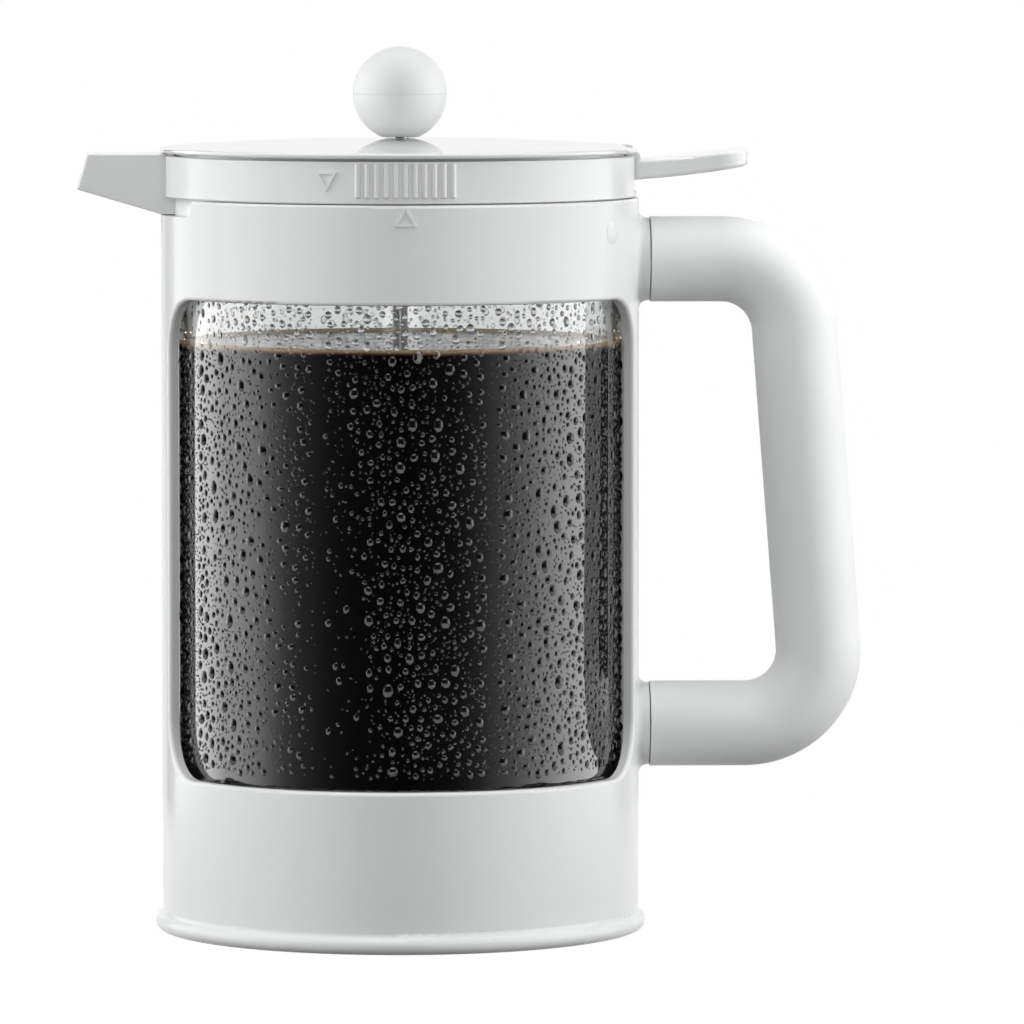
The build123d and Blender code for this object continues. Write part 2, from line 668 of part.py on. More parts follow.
def make_lid_cover():
    dome_radius = (cover_radius**2 + cover_dome**2) / (2 * cover_dome)
    edge = cover_edge / 2
    under = cover_crown - cover_thickness
    rim_outer = ring_inner - rim_clearance
    line = [
        RadiusArc((0, cover_crown), (cover_radius - edge, cover_edge_top), dome_radius),
        RadiusArc((cover_radius - edge, cover_edge_top), (cover_radius, cover_bottom + edge), edge),
        RadiusArc((cover_radius, cover_bottom + edge), (cover_radius - edge, cover_bottom), edge),
        Polyline((cover_radius - edge, cover_bottom), (rim_outer, cover_bottom),
                 (rim_outer, cover_seat_z), (rim_outer - cover_rim_wall, cover_seat_z),
                 (rim_outer - cover_rim_wall, cover_bottom),
                 (boss_radius + 2, under), (0, under), (0, cover_crown)),
    ]
    cover = revolve(Plane.XZ * make_face(line), Axis.Z)
    cover -= post(bush_radius + snug, under - 1, cover_crown + 1)
    rim_low, rim_high = cover_seat_z - 1, cover_bottom
    inner_reach = cover_seat_inner - 2
    spout_room = spout_root_half_width + 1.0
    cover -= block(-pot_radius, -inner_reach, -spout_room, spout_room, rim_low, rim_high)
    lever_room = lever_half_width + notch_side_room
    cover -= block(inner_reach, pot_radius, -lever_room, lever_room, rim_low, rim_high)
    notch_x = pot_radius - lever_ridge_inset - lever_ridge_radius - sliding
    return cover - block(notch_x, pot_radius + 2, -lever_room, lever_room, rim_low, cover_crown)


def make_rod_guide():
    """Turned bush: a boss under the deck, a neck through it, and a thin end in the cover."""
    bore = rod_radius + running
    guide = tube(bore, guide_neck_radius, bush_bottom, boss_top)
    guide += tube(bore, boss_radius, boss_bottom, deck_bottom)
    return guide + tube(bore, bush_radius, boss_top - 1, bush_top)


def make_lid_seal():
    centre = beaker_bore - seal_clearance - seal_section
    return Pos(0, 0, (gland_bottom + gland_top) / 2) * Torus(centre, seal_section)


def make_lever_axle():
    return along_y(axle_radius, -axle_half_length, axle_half_length, pivot_x, pivot_z)


def make_lever_spring():
    bottom = deck_top + spring_wire + snug
    height = spring_pocket_top - spring_wire - snug - bottom
    pitch = height / spring_turns
    path = Pos(spring_x, 0, bottom) * Helix(pitch=pitch, height=height, radius=spring_radius)
    section = Plane(origin=path @ 0, z_dir=path % 0) * Circle(spring_wire)
    return sweep(section, path=path, is_frenet=True)


# ---------------------------------------------------------------- lever and valve
def lever_tab():
    """Thumb piece outside the ring, with the ridge that fills the cover's notch."""
    tip_x, root_x = pot_radius + lever_reach, ring_radius - 1
    middle_x = (tip_x + root_x) / 2
    tip_low = ring_bottom + lever_tip_rise
    tip_high = tip_low + lever_tip_thickness
    root_high = lever_root_bottom + lever_root_thickness
    low_middle = (lever_root_bottom + tip_low) / 2 - lever_sag_low
    high_middle = (root_high + tip_high) / 2 - lever_sag_high
    side = make_face([
        ThreePointArc((root_x, lever_root_bottom), (middle_x, low_middle), (tip_x, tip_low)),
        Line((tip_x, tip_low), (tip_x, tip_high)),
        ThreePointArc((tip_x, tip_high), (middle_x, high_middle), (root_x, root_high)),
        Line((root_x, root_high), (root_x, lever_root_bottom)),
    ])
    tab = extrude(Plane.XZ * side, amount=lever_half_width, both=True)
    plan = block(root_x, tip_x, -lever_half_width, lever_half_width, rim_top, 2 * rim_top)
    corners = [e for e in plan.edges().filter_by(Axis.Z) if e.center().X > root_x + 1]
    tab = tab & fillet(corners, lever_corner)
    rims = [e for e in tab.edges() if e.center().X > root_x + 1 and abs(e.tangent_at(0.5).Z) < 0.6]
    tab = fillet(rims, lever_edge_rounding)
    ridge = along_y(lever_ridge_radius, -lever_half_width, lever_half_width,
                    pot_radius - lever_ridge_inset, ring_top - lever_ridge_drop)
    return tab + fillet(circles(ridge, lever_ridge_radius), ridge_edge_rounding)


def make_pour_lever():
    bar_bottom = deck_top + bar_rise
    bar_top = bar_bottom + bar_thickness
    bar_half = spring_pocket_radius + spring_pocket_wall
    bar_end = spring_x + bar_half
    seat_top = deck_top + port_seat_height + stopper_thickness + snug
    lever = lever_tab()
    lever += block(bar_end - 1, ring_radius, -bar_half, bar_half, lever_root_bottom, bar_top)
    lever += block(ring_inner - rim_clearance, ring_radius, -lever_half_width, lever_half_width,
                   lever_root_bottom, lever_root_bottom + lever_root_thickness)
    lever += block(pivot_x, bar_end, -bar_half, bar_half, bar_bottom, bar_top)
    lever += along_y(hub_radius, -hub_half_width, hub_half_width, pivot_x, pivot_z)
    lever += tube(yoke_inner, yoke_inner + yoke_width, arm_bottom, arm_top)
    lever += block(yoke_inner + 1, pivot_x, -bar_half, bar_half, arm_bottom, arm_top)
    lever += block(port_x, -yoke_inner - 1, -arm_half_width, arm_half_width, arm_bottom, arm_top)
    lever += post(pad_radius, seat_top, arm_top, port_x)
    lever -= post(stem_radius + snug, seat_top - 1, arm_top + 1, port_x)
    lever -= along_y(axle_radius + running, -hub_half_width - 1, hub_half_width + 1, pivot_x, pivot_z)
    lever -= post(spring_pocket_radius, bar_bottom - 1, spring_pocket_top, spring_x)
    return lever - post(yoke_inner, deck_top, bar_top + 1)


def make_port_stopper():
    seat = deck_top + port_seat_height
    top = seat + stopper_thickness
    button_top = arm_top + stem_button_height
    stopper = post(stopper_radius, seat + snug, top, port_x)
    stopper += post(port_radius - stopper_plug_room, seat - stopper_plug_depth, top, port_x)
    stopper += post(stem_radius, seat, button_top, port_x)
    return stopper + post(stem_radius + stem_button_overhang, arm_top + snug, button_top, port_x)


# ---------------------------------------------------------------- plunger pieces
def make_knob():
    ball = Pos(0, 0, knob_z) * Sphere(knob_radius)
    ball -= block(-knob_radius, knob_radius, -knob_radius, knob_radius, knob_z - 2 * knob_radius, knob_base)
    base = [e for e in ball.edges() if abs(e.center().Z - knob_base) < 0.01 and e.length > 5]
    ball = fillet(base, knob_base_rounding)
    seam = turned([(knob_radius - knob_seam_depth, knob_z),
                   (knob_radius + 1, knob_z - 3 * knob_seam_width),
                   (knob_radius + 1, knob_z + 3 * knob_seam_width)])
    ball -= seam
    return ball - post(insert_radius + snug, knob_base - 1, knob_base + insert_height + snug)


def make_knob_insert():
    insert = post(insert_radius, knob_base, knob_base + insert_height)
    return insert - post(rod_radius + snug, knob_base - 1, rod_top + snug)


def make_plunger_rod():
    rod = post(rod_radius, rod_bottom, rod_top)
    return chamfer(circles(rod, rod_radius), rod_chamfer)


def make_cross_plate():
    top = filter_bottom + cross_plate_thickness
    windows = tube(cross_hub_radius, plate_radius - cross_rim_width, filter_bottom - 1, top + 1)
    plate = post(plate_radius, filter_bottom, top)
    step = 360 / cross_spokes
    for i in range(cross_spokes):
        plate -= windows & sector(i * step + spoke_angle / 2, (i + 1) * step - spoke_angle / 2,
                                  pot_radius, filter_bottom - 2, top + 2)
    return plate - post(rod_radius + snug, rod_bottom - snug, top + 1)


def make_filter_mesh():
    return tube(rod_radius + snug, filter_radius - mesh_edge, mesh_bottom, mesh_bottom + mesh_thickness)


def make_spring_plate():
    plate = tube(rod_radius + snug, plate_radius - snug, plate_bottom, plate_top)
    ring, count = hole_ring_start, holes_per_ring
    while ring + plate_hole_radius + hole_ring_margin < plate_radius:
        for i in range(count):
            a = radians((i + 0.5) * 360 / count)
            plate -= post(plate_hole_radius, plate_bottom - 1, plate_top + 1, ring * cos(a), ring * sin(a))
        ring += hole_ring_pitch
        count += holes_per_ring
    return plate


def make_edge_coil():
    centre = filter_radius - edge_coil_radius
    return Pos(0, 0, plate_bottom + edge_coil_radius) * Torus(centre, edge_coil_radius)


def make_filter_collar():
    collar = tube(rod_radius + snug, collar_radius, plate_top + snug, plate_top + collar_height)
    upper = [e for e in circles(collar, collar_radius) if e.position_at(0).Z > plate_top + 1]
    return fillet(upper, collar_rounding)


# ---------------------------------------------------------------- output
PIECES = {
    "frame_shell": make_frame_shell,
    "handle_core": make_handle_core,
    "handle_grip": make_handle_grip,
    "handle_screws": make_handle_screws,
    "bayonet_pins": make_bayonet_pins,
    "beaker": make_beaker,
    "lid_body": make_lid_body,
    "lid_cover": make_lid_cover,
    "lid_seal": make_lid_seal,
    "rod_guide": make_rod_guide,
    "lever_axle": make_lever_axle,
    "lever_spring": make_lever_spring,
    "pour_lever": make_pour_lever,
    "port_stopper": make_port_stopper,
    "knob": make_knob,
    "knob_insert": make_knob_insert,
    "plunger_rod": make_plunger_rod,
    "cross_plate": make_cross_plate,
    "filter_mesh": make_filter_mesh,
    "spring_plate": make_spring_plate,
    "edge_coil": make_edge_coil,
    "filter_collar": make_filter_collar,
}


def main():
    os.makedirs("parts", exist_ok=True)
    for name, make in PIECES.items():
        piece = make()
        print(name, len(piece.solids()), round(sum(s.volume for s in piece.solids()), 1))
        export_step(piece, f"parts/{name}.step")


main()
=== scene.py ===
"""Looks of a cold brew coffee press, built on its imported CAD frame. Metres, +Z up.

The CAD nodes get their materials here. The coffee, the drops on the glass and the water on the sills are
made here, and so are the wires of the filter's edge coil and of the lever's spring, which replace nodes.
"""

import bpy
import bmesh
import math
import numpy as np
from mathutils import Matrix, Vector


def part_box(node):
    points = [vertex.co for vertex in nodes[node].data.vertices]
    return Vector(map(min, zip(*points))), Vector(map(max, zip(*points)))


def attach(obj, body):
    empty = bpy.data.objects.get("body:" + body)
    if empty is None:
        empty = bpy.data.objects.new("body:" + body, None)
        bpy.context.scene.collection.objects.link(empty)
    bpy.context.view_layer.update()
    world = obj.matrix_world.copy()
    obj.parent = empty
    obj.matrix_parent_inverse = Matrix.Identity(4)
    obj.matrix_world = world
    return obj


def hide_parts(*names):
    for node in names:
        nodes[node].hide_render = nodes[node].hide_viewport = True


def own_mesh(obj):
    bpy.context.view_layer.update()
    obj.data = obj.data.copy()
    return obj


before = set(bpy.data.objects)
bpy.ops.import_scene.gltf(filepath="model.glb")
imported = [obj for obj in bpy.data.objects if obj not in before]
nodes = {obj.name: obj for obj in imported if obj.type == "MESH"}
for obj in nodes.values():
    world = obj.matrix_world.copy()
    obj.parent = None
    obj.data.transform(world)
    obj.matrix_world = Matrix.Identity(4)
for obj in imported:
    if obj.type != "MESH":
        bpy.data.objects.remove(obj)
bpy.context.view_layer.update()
scene = bpy.context.scene

# ---------------------------------------------------------------- places on the object
GLASS_WALL = 0.0020
GLASS_FLOOR = 0.0025
COFFEE_TOP = 0.1515
SILL = 0.0409
WINDOW_TOP = 0.1635
WINDOWS = ((-90, "front"), (90, "back"))    # the azimuth that each window faces, in degrees
RIB_TURNS = (-67.5, -22.5, 22.5, 67.5)      # the frame's ribs, in degrees from a window's middle
glass_low, glass_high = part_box("beaker")
GLASS_R = glass_high.x

# ---------------------------------------------------------------- view
CAMERA_PLACE = (-0.05056, -2.22683, 0.2676)
CAMERA_AIM = (0.02881, 0.0, 0.10740)
LENS_MM = 304.4
SENSOR_MM = 36.0

# ---------------------------------------------------------------- light
# Angles are in degrees, round from the front, which is 0, or up from the horizon. A band is four of them:
# it rises between the first two and falls between the last two.
RIGHT_BOX, LEFT_BOX = (71, 90, 84, 104), (75, 96, 89, 109)
BOX_RISE = (-16, 4, 30, 58)
LOW_FILL_RISE = (-34, -24, -4, 2)
REAR_RISE = (-10, 5, 30, 55)
GLOSS_RISE = (-30, -12, 14, 40)
BACKDROP_RISE = (-40, -30, 6, 14)
# What the gloss sees round the horizon: (angle, strength)
LEFT_GLOSS = (
    (0, .01), (25, .02), (37, .04), (45, .08), (54, .14), (63, .27), (72, .57), (82, 1.1), (93, 1.5),
    (105, 1.7), (118, 2.3), (136, 2.2), (141, 2.1), (143, .03), (156, .03), (160, .92), (180, .92))
RIGHT_GLOSS = (
    (0, .01), (26, .03), (34, .07), (42, .15), (50, .28), (59, .48), (68, .82), (78, 1.3), (88, 1.7),
    (100, 2.0), (113, 2.1), (123.4, 2.1), (125.0, .03), (142, .03), (145, .85), (156, .92), (180, .92))
ROOF_GLOSS = 1.5
GROUND_GLOSS = 0.25
GLASS_GLOSS = 0.14          # share of the gloss that shows through glass
# Strengths of what lights the object
SOFTBOX = 12.1
FRONT_FILL = 0.74
KEY = 0.26
LOW_FILL = 0.14
REAR_FILL = 0.7
OVERHEAD = 1.2
AMBIENT_LOW, AMBIENT_HIGH = 0.135, 0.27
KEY_DIRECTION = (0.0, -0.67, 0.74)
FLOOR_RADIUS = 0.32
FLOOR_TONE = 0.09           # of the light that falls on the floor, what it gives back
FLOOR_GLOW = 0.95           # what the camera, glass and gloss see of it

# ---------------------------------------------------------------- drops
FRONT_SEED, BACK_SEED = 11, 23
# The radii that are drawn: (from, to, how many)
DROP_SIZES = (
    (0.00100, 0.00145, 260), (0.00062, 0.00100, 1300), (0.00036, 0.00060, 2400), (0.00021, 0.00034, 4200))
# The meshes they are joined into by radius: (name, from, to, segments, rings)
DROP_GROUPS = (
    ("large", 0.00072, 1.0, 14, 5), ("middle", 0.00045, 0.00072, 12, 4),
    ("small", 0.00028, 0.00045, 10, 4), ("fine", 0.0, 0.00028, 7, 3))
DROP_TRIES = 14
DROP_SPACING = 1.15         # times the two radii
GRID_CELL = 0.003
EDGE_TURN = 82              # drops reach this far from a window's middle, in degrees
LONG_FROM = 0.0005          # drops over this radius hang longer
RIB_SHY_FROM = 0.00028      # drops over this radius keep clear of the ribs
LARGEST_ABOVE = 0.00115     # the largest radius above the coffee
FINE_ABOVE, FINE_SHARE = 0.00036, 0.25      # under this radius, few stay above the coffee
FILM_GAP = 0.00002          # between the glass and the water on it
DROP_SINK = 0.0001          # how deep a drop above the coffee's line dips into the glass
# Share of the drops that stay below the coffee's line: (degrees from the window's middle, share)
GATHERING = ((-82, 1.0), (-62, 1.0), (-60, 0.3), (-57, 0.3), (-55, 0.7), (-44, 0.6), (-39, 0.3), (-27, 0.22),
             (-24, 0.10), (-15, 0.12), (-9, 0.3), (16, 0.3), (23, 0.8), (45, 1.0), (82, 1.0))
SILL_RUNS = ((-65.5, -24.0), (-21.0, 21.0), (24.0, 65.5))       # water on the sills, between the ribs


def make_camera():
    data = bpy.data.cameras.new("view")
    data.lens = LENS_MM
    data.sensor_width = SENSOR_MM
    data.clip_start, data.clip_end = 0.1, 60.0
    camera = bpy.data.objects.new("view", data)
    scene.collection.objects.link(camera)
    camera.location = CAMERA_PLACE
    aim = Vector(CAMERA_AIM) - camera.location
    camera.rotation_euler = aim.to_track_quat("-Z", "Y").to_euler()
    scene.camera = camera


# ---------------------------------------------------------------- node helpers
class Graph:
    """Short ways to add and join shader nodes."""

    def __init__(self, tree):
        self.tree = tree
        tree.nodes.clear()

    def node(self, kind, inputs=None, **props):
        made = self.tree.nodes.new(kind)
        for key, value in props.items():
            setattr(made, key, value)
        for key, value in (inputs or {}).items():
            self.feed(made.inputs[key], value)
        return made

    def feed(self, socket, value):
        if isinstance(value, bpy.types.NodeSocket):
            self.tree.links.new(value, socket)
        else:
            socket.default_value = value

    def math(self, operation, a, b=0.0):
        made = self.node("ShaderNodeMath", operation=operation)
        self.feed(made.inputs[0], a)
        self.feed(made.inputs[1], b)
        return made.outputs[0]

    def product(self, first, *others):
        for other in others:
            first = self.math("MULTIPLY", first, other)
        return first

    def total(self, first, *others):
        for other in others:
            first = self.math("ADD", first, other)
        return first

    def ramp(self, value, start, end, low=0.0, high=1.0):
        made = self.node("ShaderNodeMapRange", interpolation_type="SMOOTHSTEP", inputs={
            "Value": value, "From Min": start, "From Max": end, "To Min": low, "To Max": high})
        return made.outputs["Result"]

    def band(self, value, start, full, fall, end):
        """A rise from 0 at start to 1 at full, times a fall from 1 at fall to 0 at end."""
        return self.product(self.ramp(value, start, full), self.ramp(value, fall, end, 1.0, 0.0))

    def choose(self, factor, a, b):
        """The number a where factor is 0, and b where it is 1."""
        made = self.node("ShaderNodeMix", data_type="FLOAT", inputs={0: factor, 2: a, 3: b})
        return made.outputs[0]

    def mix(self, factor, a, b):
        """The colour a where factor is 0, and b where it is 1."""
        made = self.node("ShaderNodeMix", data_type="RGBA", inputs={0: factor, 6: a, 7: b})
        return made.outputs[2]

    def noise(self, vector, scale, detail=2.0, roughness=0.5, distortion=0.0):
        made = self.node("ShaderNodeTexNoise", inputs={
            "Vector": vector, "Scale": scale, "Detail": detail, "Roughness": roughness,
            "Distortion": distortion})
        return made.outputs["Fac"]

    def place(self, stretch=(1, 1, 1)):
        where = self.node("ShaderNodeTexCoord").outputs["Object"]
        return self.node("ShaderNodeMapping", inputs={"Vector": where, "Scale": stretch}).outputs["Vector"]

    def height(self, spot):
        return self.node("ShaderNodeSeparateXYZ", inputs={"Vector": spot}).outputs["Z"]

    def bump(self, relief, strength, distance, normal=None):
        made = self.node("ShaderNodeBump", inputs={
            "Height": relief, "Strength": strength, "Distance": distance})
        if normal is not None:
            self.feed(made.inputs["Normal"], normal)
        return made.outputs["Normal"]


def material(name):
    made = bpy.data.materials.new(name)
    made.use_nodes = True
    return made, Graph(made.node_tree)


def output(g, shader):
    g.node("ShaderNodeOutputMaterial", inputs={"Surface": shader.outputs[0]})


def principled(made, g, sockets):
    output(g, g.node("ShaderNodeBsdfPrincipled", inputs=sockets))
    return made


def grey(value, tint=(1.0, 1.0, 1.0)):
    return (value * tint[0], value * tint[1], value * tint[2], 1.0)


# ---------------------------------------------------------------- world and floor
def profile(g, angle, stops):
    """The strength at an angle, along straight lines between (degrees, strength) points."""
    most = max(strength for _, strength in stops)
    made = g.node("ShaderNodeValToRGB", inputs={"Fac": g.math("DIVIDE", angle, 180.0)})
    curve = made.color_ramp
    curve.interpolation = "LINEAR"
    while len(curve.elements) < len(stops):
        curve.elements.new(0.5)
    for element, (degrees, strength) in zip(curve.elements, stops):
        element.position = degrees / 180.0
        element.color = grey(strength / most)
    return g.product(made.outputs["Color"], most)


def make_world():
    """White for the camera. Two tall softboxes at the sides, a soft front and a faint rear light the
    object, and the gloss sees a dark front that brightens towards the sides and the back."""
    world = bpy.data.worlds.new("studio")
    world.use_nodes = True
    scene.world = world
    g = Graph(world.node_tree)
    way = g.node("ShaderNodeTexCoord").outputs["Generated"]
    x, y, z = g.node("ShaderNodeSeparateXYZ", inputs={"Vector": way}).outputs
    degrees = 180 / math.pi
    turn = g.product(g.math("ARCTAN2", x, g.product(y, -1.0)), degrees)
    rise = g.product(g.math("ARCSINE", z), degrees)
    off = g.math("ABSOLUTE", turn)
    on_left = g.math("LESS_THAN", turn, 0.0)

    horizon = g.choose(on_left, profile(g, off, RIGHT_GLOSS), profile(g, off, LEFT_GLOSS))
    gloss = g.total(
        g.product(horizon, g.band(rise, *GLOSS_RISE)),
        g.product(g.ramp(rise, 34, 62), ROOF_GLOSS),
        g.product(g.ramp(rise, -20, -60), GROUND_GLOSS))

    boxes = g.choose(on_left, g.band(off, *RIGHT_BOX), g.band(off, *LEFT_BOX))
    belt = g.band(rise, *BOX_RISE)
    to_key = g.node("ShaderNodeVectorMath", operation="DOT_PRODUCT", inputs={0: way, 1: KEY_DIRECTION})
    light = g.total(
        g.product(boxes, belt, SOFTBOX),
        g.ramp(rise, -40, 50, AMBIENT_LOW, AMBIENT_HIGH),
        g.product(g.ramp(off, 30, 80, 1.0, 0.0), belt, FRONT_FILL),
        g.product(g.ramp(to_key.outputs["Value"], 0.68, 0.94), KEY),
        g.product(g.band(rise, *LOW_FILL_RISE), LOW_FILL),
        g.ramp(rise, 52, 80, 0.0, OVERHEAD),
        g.product(g.ramp(off, 118, 150), g.band(rise, *REAR_RISE), REAR_FILL))

    path = g.node("ShaderNodeLightPath").outputs
    ahead_or_behind = g.math("MAXIMUM", g.ramp(off, 126, 136), g.ramp(off, 8, 12, 1.0, 0.0))
    backdrop = g.product(ahead_or_behind, g.band(rise, *BACKDROP_RISE))
    white = g.math("MAXIMUM", path["Is Camera Ray"], g.product(path["Is Transmission Ray"], backdrop))
    strength = g.choose(path["Is Glossy Ray"], light, gloss)
    strength = g.choose(path["Is Transmission Ray"], strength, g.product(gloss, GLASS_GLOSS))
    strength = g.choose(white, strength, 1.0)
    background = g.node("ShaderNodeBackground", inputs={"Color": grey(1.0), "Strength": strength})
    g.node("ShaderNodeOutputWorld", inputs={"Surface": background.outputs[0]})


def make_floor():
    """A pale floor that keeps the object's shadow and glows white for the camera, glass and gloss."""
    mesh = bpy.data.meshes.new("floor")
    bm = bmesh.new()
    bmesh.ops.create_circle(bm, cap_ends=True, radius=FLOOR_RADIUS, segments=96)
    bm.to_mesh(mesh)
    bm.free()
    floor = bpy.data.objects.new("floor", mesh)
    scene.collection.objects.link(floor)
    made, g = material("floor")
    path = g.node("ShaderNodeLightPath").outputs
    seen = g.math("MAXIMUM", g.math("MAXIMUM", path["Is Camera Ray"], path["Is Transmission Ray"]),
                  path["Is Glossy Ray"])
    soft = g.node("ShaderNodeBsdfDiffuse", inputs={"Color": grey(FLOOR_TONE)})
    glow = g.node("ShaderNodeEmission", inputs={"Color": grey(1.0), "Strength": g.product(seen, FLOOR_GLOW)})
    output(g, g.node("ShaderNodeAddShader", inputs={0: soft.outputs[0], 1: glow.outputs[0]}))
    mesh.materials.append(made)


# ---------------------------------------------------------------- materials
def gloss_plastic(name, base, roughness=0.2, scuff=0.10, shine=0.5, coat=0.0):
    """Polished moulded plastic: faint colour drift, orange peel, hairline scuffs and a worn foot."""
    made, g = material(name)
    spot = g.place()
    drift = g.noise(spot, scale=22.0, detail=3.0)
    scuffs = g.noise(g.place(stretch=(1.0, 1.0, 0.06)), scale=900.0, detail=4.0, roughness=0.7)
    foot = g.ramp(g.height(spot), 0.0, 0.014, 1.0, 0.0)
    wear = g.noise(spot, scale=160.0, detail=4.0, roughness=0.6)
    worn = g.product(foot, g.ramp(wear, 0.42, 0.7))
    colour = g.mix(g.ramp(drift, 0.35, 0.65), base, grey(0.975, base[:3]))
    colour = g.mix(g.product(worn, 0.12), colour, grey(0.90, base[:3]))
    rough = g.total(
        g.ramp(drift, 0.3, 0.7, roughness * 0.9, roughness * 1.1),
        g.ramp(scuffs, 0.58, 0.8, 0.0, scuff),
        g.product(worn, 0.10))
    peel = g.bump(g.noise(spot, scale=380.0, detail=1.0), strength=0.05, distance=0.0002)
    return principled(made, g, {
        "Base Color": colour, "Roughness": rough, "IOR": 1.5, "Specular IOR Level": shine,
        "Coat Weight": coat, "Coat Roughness": 0.01,
        "Normal": g.bump(scuffs, strength=0.02, distance=0.00005, normal=peel)})


def satin_plastic(name, base):
    """Soft-touch grip with a fine, even grain."""
    made, g = material(name)
    spot = g.place()
    drift = g.noise(spot, scale=30.0, detail=3.0)
    grain = g.noise(spot, scale=2600.0, roughness=0.6)
    rough = g.total(g.ramp(drift, 0.3, 0.7, 0.40, 0.48), g.ramp(grain, 0.3, 0.7, -0.03, 0.03))
    return principled(made, g, {
        "Base Color": g.mix(g.ramp(drift, 0.35, 0.65), base, grey(0.965, base[:3])),
        "Roughness": rough, "IOR": 1.5, "Specular IOR Level": 0.2,
        "Normal": g.bump(grain, strength=0.10, distance=0.00006)})


def steel(name, stretch, tone=0.62, polish=0.20):
    """Brushed stainless steel, the brushing along one direction."""
    made, g = material(name)
    lines = g.noise(g.place(stretch=stretch), scale=2200.0, detail=3.0, roughness=0.65)
    cloud = g.noise(g.place(), scale=60.0)
    darker = grey(tone * 0.86, (1.0, 0.995, 0.985))
    rough = g.total(g.ramp(lines, 0.3, 0.7, polish, polish * 1.7), g.ramp(cloud, 0.3, 0.7, -0.02, 0.02))
    return principled(made, g, {
        "Base Color": g.mix(g.ramp(lines, 0.3, 0.7), grey(tone), darker), "Metallic": 1.0,
        "Roughness": rough, "Normal": g.bump(lines, strength=0.12, distance=0.00004)})


def woven_steel():
    """Fine wire cloth: two crossed sets of round wires, with painted shade, near black, in the gaps between
    them.
    """
    made, g = material("wire_cloth")
    spot = g.place()
    across, along = [
        g.node("ShaderNodeTexWave", bands_direction=direction, wave_profile="SIN",
               inputs={"Vector": spot, "Scale": 250.0, "Distortion": 0.0}).outputs["Fac"]
        for direction in ("X", "Y")]
    wires = g.math("MAXIMUM", across, along)
    # The gaps are painted shade: near black, standing in for the dark seen through the open weave.
    gaps = g.ramp(wires, 0.25, 0.6)
    cloud = g.noise(spot, scale=40.0)
    metal = g.mix(g.ramp(cloud, 0.3, 0.7), grey(0.58), grey(0.50, (1.0, 0.99, 0.97)))
    return principled(made, g, {
        "Base Color": g.mix(gaps, grey(0.03), metal), "Metallic": 1.0,
        "Roughness": g.ramp(gaps, 0.0, 1.0, 0.6, 0.28),
        "Normal": g.bump(wires, strength=0.6, distance=0.00015)})


def silicone():
    made, g = material("silicone")
    spot = g.place()
    cloud = g.noise(spot, scale=90.0, detail=3.0)
    fine = g.noise(spot, scale=1500.0)
    clean, yellowed = grey(0.78, (1.0, 1.0, 0.985)), grey(0.72, (1.0, 0.995, 0.97))
    return principled(made, g, {
        "Base Color": g.mix(g.ramp(cloud, 0.3, 0.7), clean, yellowed),
        "Roughness": g.ramp(fine, 0.3, 0.7, 0.45, 0.6), "IOR": 1.41,
        "Normal": g.bump(fine, strength=0.1, distance=0.00005)})


def clear_glass():
    """Borosilicate, with the faint waviness of blown glass."""
    made, g = material("clear_glass")
    spot = g.place()
    normal = g.bump(g.noise(spot, scale=45.0), strength=0.04, distance=0.0003)
    return principled(made, g, {
        "Base Color": (0.97, 0.985, 0.98, 1.0), "IOR": 1.47, "Transmission Weight": 1.0,
        "Roughness": g.ramp(g.noise(spot, scale=70.0), 0.3, 0.7, 0.0, 0.015),
        "Coat Weight": 1.0, "Coat Roughness": 0.0, "Coat IOR": 1.8,
        "Normal": normal, "Coat Normal": normal})


def water(name, coat):
    made, g = material(name)
    swirl = g.noise(g.place(), scale=600.0)
    return principled(made, g, {
        "Base Color": (0.98, 0.99, 0.99, 1.0), "IOR": 1.333, "Transmission Weight": 1.0,
        "Roughness": g.ramp(swirl, 0.3, 0.7, 0.0, 0.01),
        "Coat Weight": coat, "Coat Roughness": 0.0, "Coat IOR": 1.7,
        "Normal": g.bump(swirl, strength=0.02, distance=0.00005)})


def coffee_behind():
    """The dark seen through a drop that hangs in front of the coffee."""
    made, g = material("coffee_behind_drop")
    cloud = g.noise(g.place(), scale=200.0)
    return principled(made, g, {
        "Base Color": g.mix(cloud, (0.004, 0.003, 0.003, 1.0), (0.010, 0.008, 0.007, 1.0)),
        "Roughness": g.ramp(cloud, 0.0, 1.0, 0.8, 1.0), "Specular IOR Level": 0.0})


def coffee_side():
    """Coffee against the glass: almost black, tan where it thins out at the top, with a painted glow there
    that stands in for light shining through the thin coffee.
    """
    made, g = material("coffee_side")
    spot = g.place()
    waver = g.product(g.math("SUBTRACT", g.noise(spot, scale=70.0), 0.5), 0.0009)
    level = g.total(g.height(spot), waver)
    thin = g.ramp(level, COFFEE_TOP - 0.0010, COFFEE_TOP + 0.0003)
    body = g.mix(g.noise(spot, scale=35.0), (0.0030, 0.0022, 0.0020, 1.0), (0.0055, 0.0040, 0.0032, 1.0))
    amber = g.mix(g.ramp(level, COFFEE_TOP - 0.0008, COFFEE_TOP + 0.0006),
                  (0.20, 0.075, 0.03, 1.0), (0.60, 0.45, 0.28, 1.0))
    return principled(made, g, {
        "Base Color": g.mix(thin, body, amber), "Roughness": g.ramp(thin, 0.0, 1.0, 0.5, 0.3),
        "IOR": 1.33, "Specular IOR Level": 0.0,
        # Emission: painted glow where the coffee thins, standing in for light shining through it from
        # behind.
        "Emission Color": g.mix(thin, grey(0.0), amber), "Emission Strength": 0.34})


